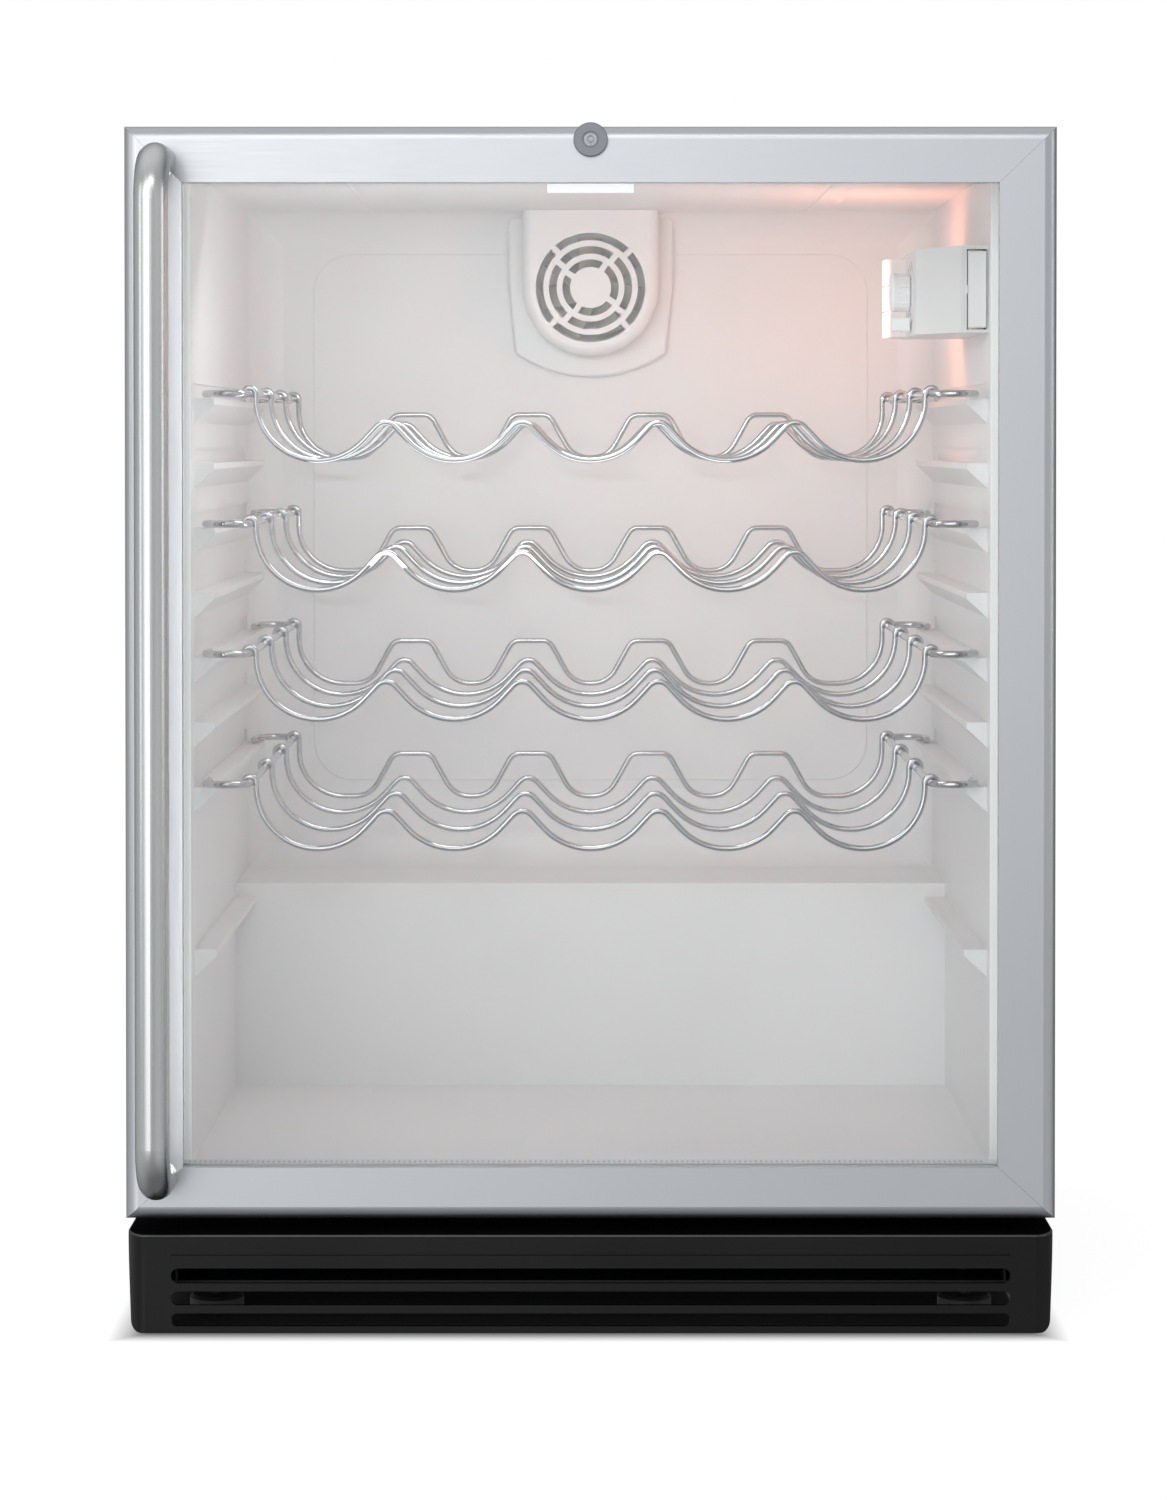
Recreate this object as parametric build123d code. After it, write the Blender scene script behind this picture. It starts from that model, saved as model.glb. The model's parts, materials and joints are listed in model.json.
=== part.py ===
from build123d import *
import math
import os

# Built-under wine cooler with a glazed door hinged on the right.
# x runs to the right, y is the depth behind the door's front plane, z is up from the floor.
# Every part is shifted by ORIGIN_SHIFT when it is written, so that the origin is the middle
# of the whole appliance's footprint.

# ---- driving dimensions, millimetres ----
DOOR_HALF = 300.0
DOOR_BOTTOM = 76.0
DOOR_TOP = 780.0
DOOR_DEPTH = 45.0
STILE_FACE = 37.5
TOP_RAIL_FACE = 36.2
BOTTOM_RAIL_FACE = 34.0
LIP = 5.0
LIP_DEPTH = 9.0
EDGE_RADIUS = 8.6
SEAM = 0.15
GLASS_FRONT = 8.0
GLASS_THICK = 4.0
GLASS_GAP = 12.0
GLASS_INSET = 28.3

FLANGE_FRONT = 57.0
FLANGE_THICK = 2.0
CAB_HALF = 297.5
CAB_TOP = 776.0
CAB_BOTTOM = 60.0
CAB_REAR = 543.0
SKIN = 1.0

LINER_HALF = 263.0
LINER_WALL = 2.0
LINER_FLOOR = 100.0
LINER_CEILING = 754.0
LINER_REAR = 497.0
STEP_FRONT = 370.0
STEP_TOP = 250.0
STEP_FOAM = 35.0

RIB_FIRST_TOP = 606.0
RIB_PITCH = 43.0
RIB_COUNT = 7
RIB_FRONT = 78.0
RIB_REAR = 468.0
RIB_WIDTH = 13.5
LOW_RIB_TOP = 240.0

RACK_COUNT = 4
RACK_HEIGHT = RIB_FIRST_TOP + 3.0
RACK_PITCH = 2 * RIB_PITCH
SIDE_ROD_X = 226.0
SIDE_ROD_RADIUS = 2.5
WAVE_RADIUS = 2.0
RACK_FRONT = 80.0
RACK_REAR = 450.0
CRADLE_PITCH = 90.5
CRADLE_DROP = 44.0
CREST_DROP = 19.0
TROUGH_ARC = 42.0
CREST_ARC = 8.5
HOOK_RADIUS = 14.5

HANDLE_X = -277.0
HANDLE_LOW = 104.0
HANDLE_HIGH = 757.0
HANDLE_REACH = 44.0
HANDLE_RADIUS = 11.0
ELBOW_RADIUS = 27.0

HINGE_X = 286.0
HINGE_Y = 18.0
PIN_RADIUS = 3.0
RUNNING = 0.05

LOCK_Z = 771.0
LOCK_SHANK = 3.1
CAM_FRONT = 49.4
CAM_THICK = 2.2
CAM_REACH = 18.0

FAN_Z = 694.6
FAN_COVER_FRONT = 457.0
FAN_PLATE_FRONT = LINER_REAR - 10
RING_SLOTS = ((41.8, 36.1, -2.0), (31.7, 25.9, 7.0), (21.5, 15.7, 12.5))

FOOT_PLACES = [(x, y) for x in (-250, 250) for y in (95, 505)]
COMPRESSOR_X, COMPRESSOR_Y = 50.0, 475.0
GROMMET_PLACES = [(COMPRESSOR_X + x, COMPRESSOR_Y + y) for x in (-80, 80) for y in (-42, 42)]
CONDENSER_FAN_X, CONDENSER_FAN_Z = -190.0, 108.0
CORD_X, CORD_Z = 200.0, 52.0
BRACKET_HOLES = ((-120, 470), (120, 470))
PLINTH_BOTTOM = 3.0
PLINTH_TOP = 66.5
SPACER_LENGTH = 12.0

CONTROL_LOW = 649.5
CONTROL_HIGH = 707.0
KNOB_Y = 163.0
KNOB_Z = 679.4
ROCKER_Z = 678.0

PAN_BOTTOM = 22.0
COMPARTMENT_FRONT = STEP_FRONT + LINER_WALL + STEP_FOAM
COMPARTMENT_TOP = STEP_TOP - LINER_WALL - STEP_FOAM

FRONT_MOST = -HANDLE_REACH - HANDLE_RADIUS
REAR_MOST = CAB_REAR + SPACER_LENGTH
ORIGIN_SHIFT = Pos(0, -(FRONT_MOST + REAR_MOST) / 2, 0)


# ---- shared shapes ----
def block(x0, x1, y0, y1, z0, z1):
    """A box between two opposite corners."""
    return Pos((x0 + x1) / 2, (y0 + y1) / 2, (z0 + z1) / 2) * Box(x1 - x0, y1 - y0, z1 - z0)


def rod_x(x0, x1, y, z, radius):
    return Pos((x0 + x1) / 2, y, z) * Rot(0, 90, 0) * Cylinder(radius, x1 - x0)


def rod_y(x, y0, y1, z, radius):
    return Pos(x, (y0 + y1) / 2, z) * Rot(90, 0, 0) * Cylinder(radius, y1 - y0)


def rod_z(x, y, z0, z1, radius):
    return Pos(x, y, (z0 + z1) / 2) * Cylinder(radius, z1 - z0)


def ring(outer, inner, y0, y1):
    """A rectangular picture frame: outer and inner are (x half, bottom z, top z)."""
    outside = block(-outer[0], outer[0], y0, y1, outer[1], outer[2])
    return outside - block(-inner[0], inner[0], y0, y1, inner[1], inner[2])


def prism_x(points, x0, x1):
    """A (y, z) outline extruded along x."""
    wire = Polyline([(x0, y, z) for y, z in points], close=True)
    return extrude(make_face(wire), amount=x1 - x0, dir=(1, 0, 0))


def prism_y(points, y0, y1):
    """An (x, z) outline extruded along y."""
    wire = Polyline([(x, y0, z) for x, z in points], close=True)
    return extrude(make_face(wire), amount=y1 - y0, dir=(0, 1, 0))


def prism_z(points, z0, z1):
    """An (x, y) outline extruded along z."""
    wire = Polyline([(x, y, z0) for x, y in points], close=True)
    return extrude(make_face(wire), amount=z1 - z0, dir=(0, 0, 1))


def bent_wire(points, radii, radius):
    """A round wire along straight runs joined by arcs."""
    path = FilletPolyline(points, radius=radii)
    start = Plane(origin=path @ 0, z_dir=path % 0)
    return sweep(start * Circle(radius), path=path)


def solids_of(shapes):
    return [solid for shape in shapes for solid in shape.solids()]


def save(name, *shapes):
    """Writes one node, as one solid or as a group of separate solids."""
    placed = Compound(solids_of(ORIGIN_SHIFT * shape for shape in shapes))
    export_step(placed, f"parts/{name}.step")


# ---- door ----
def member_profile(face_width):
    """Hollow frame extrusion in (distance from the outer edge, depth)."""
    arc_mid = EDGE_RADIUS * (1 - math.sqrt(0.5))
    edge = ThreePointArc((0, EDGE_RADIUS), (arc_mid, arc_mid), (EDGE_RADIUS, 0))
    rest = Polyline(
        (EDGE_RADIUS, 0), (face_width, 0), (face_width, GLASS_FRONT),
        (GLASS_INSET, GLASS_FRONT), (GLASS_INSET, 28), (20, 28), (20, DOOR_DEPTH),
        (LIP, DOOR_DEPTH), (LIP, LIP_DEPTH), (0, LIP_DEPTH), (0, EDGE_RADIUS),
    )
    outline = make_face(Curve() + [edge, rest])
    front_chamber = Pos(17.25, 14.25) * Rectangle(18.5, 21.5)
    rear_chamber = Pos(12.5, 33) * Rectangle(9, 18)
    return outline - front_chamber - rear_chamber


def frame_member(face_width, corner, inward, length):
    """One side of the door frame, before its ends are mitred."""
    along = Vector(*inward).cross(Vector(0, 1, 0))
    plane = Plane(origin=corner, x_dir=inward, z_dir=along)
    return extrude(plane * member_profile(face_width), amount=length)


def mitre_prism(outer_a, outer_b, inner_b, inner_a):
    return prism_y([outer_a, outer_b, inner_b, inner_a], -1, DOOR_DEPTH + 1)


def mitred_frame():
    """The four frame members as a dictionary by name."""
    reach = 1.25
    dx, dz_low, dz_high = STILE_FACE * reach, BOTTOM_RAIL_FACE * reach, TOP_RAIL_FACE * reach
    low, high = DOOR_BOTTOM, DOOR_TOP
    height, width = high - low, 2 * DOOR_HALF
    frame = {}
    for name, side in (("left", -1), ("right", 1)):
        edge = side * DOOR_HALF
        start = low if side < 0 else high
        bar = frame_member(STILE_FACE, (edge, 0, start), (-side, 0, 0), height)
        inner = edge - side * dx
        frame[f"door_stile_{name}"] = bar & mitre_prism(
            (edge, low + SEAM), (edge, high - SEAM),
            (inner, high - dz_high - SEAM), (inner, low + dz_low + SEAM),
        )
    rails = (("bottom", low, 1, BOTTOM_RAIL_FACE), ("top", high, -1, TOP_RAIL_FACE))
    for name, edge, side, face_width in rails:
        start = DOOR_HALF if side > 0 else -DOOR_HALF
        bar = frame_member(face_width, (start, 0, edge), (0, 0, side), width)
        inner = edge + side * face_width * reach
        frame[f"door_rail_{name}"] = bar & mitre_prism(
            (-DOOR_HALF, edge), (DOOR_HALF, edge), (DOOR_HALF - dx, inner), (dx - DOOR_HALF, inner)
        )
    return frame


def corner_key(side, up):
    """Cast L-shaped key inside one mitred corner."""
    near, far, leg = 8.3, 24.7, 62.0
    z_edge = DOOR_TOP if up else DOOR_BOTTOM
    sign = -1 if up else 1
    x_near, x_far = side * (DOOR_HALF - near), side * (DOOR_HALF - far)
    z_near, z_far = z_edge + sign * near, z_edge + sign * far
    xs, zs = sorted((x_near, x_far)), sorted((z_near, z_edge + sign * leg))
    upright = block(xs[0], xs[1], 10, 24.5, zs[0], zs[1])
    xs, zs = sorted((x_near, side * (DOOR_HALF - leg))), sorted((z_near, z_far))
    return upright + block(xs[0], xs[1], 10, 24.5, zs[0], zs[1])


def hinge_bush(z0, z1):
    return rod_z(HINGE_X, HINGE_Y, z0, z1, 5.45) - rod_z(HINGE_X, HINGE_Y, z0, z1, PIN_RADIUS + RUNNING)


def handle_stud(z):
    """Plug in the foot of the handle tube, with its stud and nut inside the stile."""
    plug = rod_y(HANDLE_X, -13, 0, z, 9.4)
    stud = rod_y(HANDLE_X, 0, 9, z, 2.0)
    nut = block(HANDLE_X - 3.3, HANDLE_X + 3.3, 3.6, 6.8, z - 3.3, z + 3.3)
    return plug + stud + nut


def build_door():
    bush_low = (DOOR_BOTTOM + LIP, DOOR_BOTTOM + LIP + 14)
    bush_high = (DOOR_TOP - LIP - 14, DOOR_TOP - LIP)
    bush_holes = [rod_z(HINGE_X, HINGE_Y, low, high, 5.5) for low, high in (bush_low, bush_high)]
    stud_holes = [rod_y(HANDLE_X, -1, 9.5, z, 2.1) for z in (HANDLE_LOW, HANDLE_HIGH)]
    lock_hole = rod_y(0, -1, DOOR_DEPTH + 1, LOCK_Z, 5.1)

    for name, member in mitred_frame().items():
        save(name, member - bush_holes - stud_holes - lock_hole)

    keys = [corner_key(side, up) - bush_holes for side in (-1, 1) for up in (False, True)]
    save("corner_keys", *keys)
    save("hinge_bushes", hinge_bush(*bush_low), hinge_bush(*bush_high))

    glass_half = DOOR_HALF - GLASS_INSET - 0.4
    glass_low, glass_high = DOOR_BOTTOM + GLASS_INSET + 0.4, DOOR_TOP - GLASS_INSET - 0.4
    gap_front = GLASS_FRONT + GLASS_THICK
    gap_rear = gap_front + GLASS_GAP
    glass_rear = gap_rear + GLASS_THICK
    save("glass_front", block(-glass_half, glass_half, GLASS_FRONT, gap_front, glass_low, glass_high))
    save("glass_rear", block(-glass_half, glass_half, gap_rear, glass_rear, glass_low, glass_high))
    edge, height = 1.3, 6.9
    spacer_outer = (glass_half - edge, glass_low + edge, glass_high - edge)
    spacer_inner = (glass_half - height + 2.6, glass_low + height - 1.2, glass_high - height)
    save("glass_spacer", ring(spacer_outer, spacer_inner, gap_front, gap_rear))

    bead_outer = (DOOR_HALF - 20.1, DOOR_BOTTOM + 20.1, DOOR_TOP - 20.1)
    bead_inner = (DOOR_HALF - 30.5, DOOR_BOTTOM + 30.5, DOOR_TOP - 30.5)
    save("glazing_bead", ring(bead_outer, bead_inner, glass_rear, DOOR_DEPTH))
    save("door_gasket", door_gasket())
    save("handle_bar", handle_bar())
    save("handle_studs", handle_stud(HANDLE_LOW), handle_stud(HANDLE_HIGH))
    save("lock_housing", lock_housing())
    save("lock_plug", lock_plug())
    save("lock_cam", lock_cam())


def door_gasket():
    """Magnetic bellows seal: a base strip, a narrow waist and the face that meets the flange."""
    outer = (280.0, 84.0, 763.0)
    face = FLANGE_FRONT - 0.3

    def band(margin, width, y0, y1):
        outside = (outer[0] - margin, outer[1] + margin, outer[2] - margin)
        inside = (outside[0] - width, outside[1] + width, outside[2] - width)
        return ring(outside, inside, y0, y1)

    return band(0, 12, DOOR_DEPTH, 47.5) + band(3, 6, 47.5, 51) + band(0.5, 11, 51, face)


def handle_bar():
    """Round tube with a large elbow into the stile at each end."""
    path = [
        (HANDLE_X, 0, HANDLE_LOW), (HANDLE_X, -HANDLE_REACH, HANDLE_LOW),
        (HANDLE_X, -HANDLE_REACH, HANDLE_HIGH), (HANDLE_X, 0, HANDLE_HIGH),
    ]
    tube = bent_wire(path, ELBOW_RADIUS, HANDLE_RADIUS)
    bores = [rod_y(HANDLE_X, -13.5, 0, z, 9.5) for z in (HANDLE_LOW, HANDLE_HIGH)]
    return tube - bores


def lock_housing():
    disc = rod_y(0, -3, 0, LOCK_Z, 11)
    disc = chamfer(disc.edges().filter_by(GeomType.CIRCLE).group_by(Axis.Y)[0], 0.6)
    barrel_end = CAM_FRONT - 0.4
    barrel = rod_y(0, 0, barrel_end, LOCK_Z, 5)
    recess = rod_y(0, -3, -1.8, LOCK_Z, 5.4)
    return disc + barrel - recess - rod_y(0, -3, barrel_end, LOCK_Z, LOCK_SHANK + RUNNING)


def lock_plug():
    """Tubular-key plug: chrome head, shank, and the annular key slot with its notch."""
    plug = rod_y(0, -2.6, -1.8, LOCK_Z, 4.2) + rod_y(0, -1.8, CAM_FRONT, LOCK_Z, LOCK_SHANK)
    slot = rod_y(0, -2.6, 1.5, LOCK_Z, 2.6) - rod_y(0, -2.6, 1.5, LOCK_Z, 1.6)
    notch = block(-0.5, 0.5, -2.6, 1.5, LOCK_Z - 3.6, LOCK_Z - 2)
    return plug - slot - notch


def lock_cam():
    """Flat cam that points away from the keeper when the lock is open."""
    rear = CAM_FRONT + CAM_THICK
    hub = rod_y(0, CAM_FRONT, rear, LOCK_Z, 5.4)
    arm = block(-CAM_REACH, 0, CAM_FRONT, rear, LOCK_Z - 4, LOCK_Z + 4)
    nose = arm.edges().filter_by(Axis.Y).group_by(Axis.X)[0]
    return hub + fillet(nose, 3.5)


# ---- hinges and keeper ----
def hinge_outline(pad_front, pad_rear):
    """Plan of a hinge plate: pad on the cabinet, arm and round nose at the pin."""
    return [
        (226, pad_front), (226, pad_rear), (296, pad_rear), (296, pad_front),
        (HINGE_X + 2, pad_front), (HINGE_X + 2, HINGE_Y), (HINGE_X - 7, HINGE_Y),
        (HINGE_X - 14, HINGE_Y + 16), (HINGE_X - 14, pad_front),
    ]


def hinge_plate(z0, z1, pad_front, pad_rear):
    plate = prism_z(hinge_outline(pad_front, pad_rear), z0, z1) + rod_z(HINGE_X, HINGE_Y, z0, z1, 7)
    return plate - rod_z(HINGE_X, HINGE_Y, z0, z1, PIN_RADIUS)


def build_hinges():
    upper = (CAB_TOP, CAB_TOP + 3)
    lower = (DOOR_BOTTOM + 1, DOOR_BOTTOM + 4)
    upper_plate = hinge_plate(*upper, FLANGE_FRONT, 112)
    lower_plate = hinge_plate(*lower, FLANGE_FRONT - 3, FLANGE_FRONT)
    lower_leg = block(226, 296, FLANGE_FRONT - 3, FLANGE_FRONT, PLINTH_TOP + 0.5, lower[1])
    save("hinge_plate_upper", upper_plate - SCREW_BORES)
    save("hinge_plate_lower", lower_plate + lower_leg - SCREW_BORES)
    upper_pin = rod_z(HINGE_X, HINGE_Y, DOOR_TOP - LIP - 12, upper[1], PIN_RADIUS)
    lower_pin = rod_z(HINGE_X, HINGE_Y, lower[0], DOOR_BOTTOM + LIP + 12, PIN_RADIUS)
    save("hinge_pins", upper_pin, lower_pin)

    low, high = LOCK_Z - 5.5, CAB_TOP - 0.5
    web_inner, web_outer = CAM_REACH + 1, CAM_REACH + 3.5
    lip = block(7, web_outer, 46.5, CAM_FRONT - 0.4, low, high)
    web = block(web_inner, web_outer, CAM_FRONT - 0.4, FLANGE_FRONT, low, high)
    foot = block(web_outer, web_outer + 15, FLANGE_FRONT - 2, FLANGE_FRONT, low, high)
    save("lock_keeper", lip + web + foot)


# ---- screws shared by the cabinet ----
def screw_at(x, y, z, direction):
    """A pan-head screw whose head sits on (x, y, z) and whose shank runs along direction."""
    place = Plane(origin=(x, y, z), z_dir=direction)
    head = place * (Pos(0, 0, -1.1) * Cylinder(3.8, 2.2))
    shank = place * (Pos(0, 0, 4.5) * Cylinder(2.0, 9))
    cross = place * (Pos(0, 0, -1.8) * (Box(4.4, 0.9, 0.8) + Box(0.9, 4.4, 0.8)))
    return head + shank - cross


def bore_at(x, y, z, direction):
    return Plane(origin=(x, y, z), z_dir=direction) * (Pos(0, 0, 4.6) * Cylinder(2.1, 9.6))


SCREW_PLACES = [(x, 90, CAB_TOP + 3, (0, 0, -1)) for x in (238, 261, 284)]
SCREW_PLACES += [(x, FLANGE_FRONT - 3, 72, (0, 1, 0)) for x in (234, 260)]
SCREW_PLACES += [(x, CAB_REAR + 1.5, 200, (0, -1, 0)) for x in (-270, 0, 270)]
SCREW_PLACES += [(x, CAB_REAR + 1.5, 34, (0, -1, 0)) for x in (-270, 0, 270)]
SCREW_BORES = [bore_at(*place) for place in SCREW_PLACES]


# ---- cabinet ----
def rounded_cavity(grow):
    """The cavity that the liner encloses, enlarged by grow, with the step and rounded rear corners."""
    front = FLANGE_FRONT + FLANGE_THICK
    floor, ceiling = LINER_FLOOR - grow, LINER_CEILING + grow
    outline = [
        (front, floor), (STEP_FRONT + grow, floor), (STEP_FRONT + grow, STEP_TOP - grow),
        (LINER_REAR + grow, STEP_TOP - grow), (LINER_REAR + grow, ceiling), (front, ceiling),
    ]
    body = prism_x(outline, -LINER_HALF - grow, LINER_HALF + grow)
    rear = body.edges().group_by(Axis.Y)[-1]
    return fillet(rear, 26 + grow)


def side_rib(side, top, width, rear):
    """Shelf rib on one side wall: flat top over a gusset that runs back to the wall."""
    wall = side * LINER_HALF
    tip = wall - side * width
    outline = [(wall, top), (tip, top), (tip, top - 4), (wall, top - width - 3)]
    return prism_y(outline, RIB_FRONT, rear)


def rib_recess(side, top):
    """Shallow groove in the wall above a rib, for the rack's hooks."""
    wall = side * LINER_HALF
    xs = sorted((wall, wall + side * 1.2))
    return block(xs[0], xs[1], RIB_FRONT + 2, RIB_REAR - 8, top, top + 10)


def inner_liner():
    shell = rounded_cavity(LINER_WALL) - rounded_cavity(0)
    for side in (-1, 1):
        for index in range(RIB_COUNT):
            top = RIB_FIRST_TOP - index * RIB_PITCH
            shell += side_rib(side, top, RIB_WIDTH, RIB_REAR)
            shell -= rib_recess(side, top)
        shell += side_rib(side, LOW_RIB_TOP, RIB_WIDTH + 1.5, STEP_FRONT)
    return shell


def bracket_bores():
    """Two holes in the top for the bracket that ties the cabinet to a worktop."""
    return [rod_z(x, y, CAB_TOP - 14, CAB_TOP, 2.5) for x, y in BRACKET_HOLES]


def foam_slabs():
    """Insulation as plain slabs that meet face to face around the liner."""
    out = CAB_HALF - SKIN
    inner = LINER_HALF + LINER_WALL
    front, rear = FLANGE_FRONT + FLANGE_THICK, CAB_REAR - SKIN
    split = COMPARTMENT_FRONT
    top = CAB_TOP - SKIN
    slabs = []
    for side in (-1, 1):
        xs = sorted((side * inner, side * out))
        slabs.append(block(xs[0], xs[1], front, split, CAB_BOTTOM, top))
        slabs.append(block(xs[0], xs[1], split, rear, COMPARTMENT_TOP, top))
    slabs.append(block(-inner, inner, front, rear, LINER_CEILING + LINER_WALL, top))
    slabs.append(block(-inner, inner, front, split, CAB_BOTTOM, LINER_FLOOR - LINER_WALL))
    step_back = STEP_FRONT + LINER_WALL
    slabs.append(block(-inner, inner, step_back, split, LINER_FLOOR - LINER_WALL, COMPARTMENT_TOP))
    slabs.append(block(-inner, inner, step_back, rear, COMPARTMENT_TOP, STEP_TOP - LINER_WALL))
    back = LINER_REAR + LINER_WALL + 1.5
    slabs.append(block(-inner, inner, back, rear, STEP_TOP - LINER_WALL, LINER_CEILING + LINER_WALL))
    return [slab - SCREW_BORES - bracket_bores() for slab in slabs]


def outer_wrapper():
    """One folded sheet: two sides, the top and the floor of the insulated box."""
    front = FLANGE_FRONT + FLANGE_THICK
    sides = [
        block(*sorted((side * (CAB_HALF - SKIN), side * CAB_HALF)), front, CAB_REAR, PAN_BOTTOM, CAB_TOP)
        for side in (-1, 1)
    ]
    top = block(-CAB_HALF, CAB_HALF, front, CAB_REAR, CAB_TOP - SKIN, CAB_TOP)
    floor = block(-CAB_HALF, CAB_HALF, front, COMPARTMENT_FRONT, CAB_BOTTOM - SKIN, CAB_BOTTOM)
    return sides[0] + sides[1] + top + floor - SCREW_BORES - bracket_bores()


def kick_grille():
    """Plinth with three long air slots, rounded front corners and sides that draw in downward."""
    rear = FLANGE_FRONT - 0.5
    wide, turn_x, turn_y, wall, draw_in = DOOR_HALF, 13.0, 22.0, 3.0, 3.2

    def plan(inset):
        edge, front = wide - inset, inset
        radius_x, radius_y = turn_x - inset, turn_y - inset
        centre_x, centre_y = edge - radius_x, front + radius_y
        right = EllipticalCenterArc((centre_x, centre_y), radius_x, radius_y, 270, arc_size=90)
        left = EllipticalCenterArc((-centre_x, centre_y), radius_x, radius_y, 180, arc_size=90)
        sides = Polyline(right @ 1, (edge, rear), (-edge, rear), left @ 0)
        return make_face(Curve() + [right, sides, left, Line(left @ 1, right @ 0)])

    def front_view(inset, low):
        top, foot = wide - inset, wide - inset - draw_in
        return prism_y([(-top, PLINTH_TOP), (top, PLINTH_TOP), (foot, low), (-foot, low)], -1, rear + 1)

    outline = front_view(0, PLINTH_BOTTOM)
    outline = fillet(outline.edges().filter_by(Axis.Y).group_by(Axis.Z)[0], 7)
    height = PLINTH_TOP - PLINTH_BOTTOM
    outside = (Pos(0, 0, PLINTH_BOTTOM) * extrude(plan(0), amount=height)) & outline
    rim = [edge for edge in outside.edges().group_by(Axis.Z)[-1] if edge.center().Y < rear - 1]
    outside = fillet(rim, 1.3)
    inside = Pos(0, 0, PLINTH_BOTTOM - 1) * extrude(plan(wall), amount=height - wall + 1)
    shell = outside - (inside & front_view(wall, PLINTH_BOTTOM - 1))
    shell -= block(-270.5, 270.5, -1, 0.9, 53.2, 54.4)
    for centre, tall in ((40.0, 9.7), (25.5, 9.0), (11.6, 8.4)):
        slot = extrude(Plane.XZ.offset(1) * Pos(0, centre) * SlotOverall(541, tall), amount=-6)
        shell -= slot
    return shell


def base_pan():
    """Floor of the machine space: folded sheet with side channels that carry the cabinet."""
    half, front, rear = CAB_HALF - SKIN, FLANGE_FRONT + FLANGE_THICK, CAB_REAR - SKIN
    pan = block(-half, half, front, rear, PAN_BOTTOM, PAN_BOTTOM + 2)
    pan += block(-half, half, rear - 1.5, rear, PAN_BOTTOM, PAN_BOTTOM + 20)
    for side in (-1, 1):
        outer, inner = side * half, side * (half - 24)
        xs = sorted((outer, inner))
        channel = block(xs[0], xs[1], front, COMPARTMENT_FRONT, PAN_BOTTOM, CAB_BOTTOM - SKIN)
        hollow = block(xs[0] + 1.5, xs[1] - 1.5, front, COMPARTMENT_FRONT, PAN_BOTTOM + 2, CAB_BOTTOM - 2.5)
        pan += channel - hollow
    holes = [rod_z(x, y, PAN_BOTTOM, PAN_BOTTOM + 2, 4.2) for x, y in FOOT_PLACES]
    bolts = [rod_z(x, y, PAN_BOTTOM, PAN_BOTTOM + 2, 3.1) for x, y in GROMMET_PLACES]
    return pan - holes - bolts - SCREW_BORES


def levelling_foot(x, y):
    pad = rod_z(x, y, 0, 8, 18)
    pad = chamfer(pad.edges().group_by(Axis.Z)[-1], 2)
    return pad + rod_z(x, y, 8, 44, 4) + rod_z(x, y, 14, PAN_BOTTOM, 7.5)


def machine_cover():
    """Rear cover of the machine compartment, with rows of air slots."""
    cover = block(-296, 296, CAB_REAR, CAB_REAR + 1.5, 24, COMPARTMENT_TOP - 1)
    for column in range(-9, 10):
        for z in (88, 152):
            slot = Plane.XZ.offset(-CAB_REAR + 1) * Pos(column * 26, z) * SlotOverall(46, 7, rotation=90)
            cover -= extrude(slot, amount=-5)
    return cover - SCREW_BORES - rod_y(CORD_X, CAB_REAR - 2, CAB_REAR + 3, CORD_Z, 6.1)


def cord_inlet():
    """Strain-relief gland for the supply cord."""
    body = rod_y(CORD_X, CAB_REAR - 10, CAB_REAR + 1.5, CORD_Z, 6)
    flange = rod_y(CORD_X, CAB_REAR + 1.5, CAB_REAR + 7, CORD_Z, 9)
    return body + flange - rod_y(CORD_X, CAB_REAR - 10, CAB_REAR + 7, CORD_Z, 3.5)


def build_cabinet():
    front = FLANGE_FRONT + FLANGE_THICK
    save("outer_wrapper", outer_wrapper())
    rear_half, rear_low = CAB_HALF - SKIN, COMPARTMENT_TOP
    rear = block(-rear_half, rear_half, CAB_REAR - SKIN, CAB_REAR, rear_low, CAB_TOP - SKIN)
    save("rear_panel", rear)
    flange_outer = (CAB_HALF, CAB_BOTTOM - SKIN, CAB_TOP)
    flange_inner = (LINER_HALF, LINER_FLOOR, LINER_CEILING)
    save("front_flange", ring(flange_outer, flange_inner, FLANGE_FRONT, front) - SCREW_BORES)
    save("inner_liner", inner_liner())
    save("foam_insulation", *foam_slabs())
    evaporator_front = LINER_REAR + LINER_WALL
    save("evaporator_plate", block(-225, 225, evaporator_front, evaporator_front + 1.5, 280, 725))
    save("base_pan", base_pan())
    save("kick_grille", kick_grille())
    save("levelling_feet", *[levelling_foot(x, y) for x, y in FOOT_PLACES])
    save("machine_cover", machine_cover())
    save("cord_inlet", cord_inlet())
    spacers = [rod_y(x, CAB_REAR, CAB_REAR + SPACER_LENGTH, 700, 12) for x in (-200, 200)]
    save("wall_spacers", *spacers)
    save("cabinet_screws", *[screw_at(*place) for place in SCREW_PLACES])
    save("door_switch_cover", block(-28.5, 28.5, front + 0.5, front + 3, 741, LINER_CEILING))


# ---- refrigeration ----
def compressor():
    """Hermetic shell on a four-eared mounting plate."""
    shell = Pos(COMPRESSOR_X, COMPRESSOR_Y, 42) * extrude(Ellipse(78, 56), amount=118)
    shell = fillet(shell.edges(), 26)
    left, right = COMPRESSOR_X - 92, COMPRESSOR_X + 92
    plate = block(left, right, COMPRESSOR_Y - 52, COMPRESSOR_Y + 52, 38, 42)
    plate = plate - [rod_z(x, y, 38, 42, 3.2) for x, y in GROMMET_PLACES]
    return shell + plate


def grommet(x, y):
    sleeve = rod_z(x, y, PAN_BOTTOM + 2, 38, 9)
    return sleeve - rod_z(x, y, PAN_BOTTOM + 2, 38, 3.2)


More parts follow.
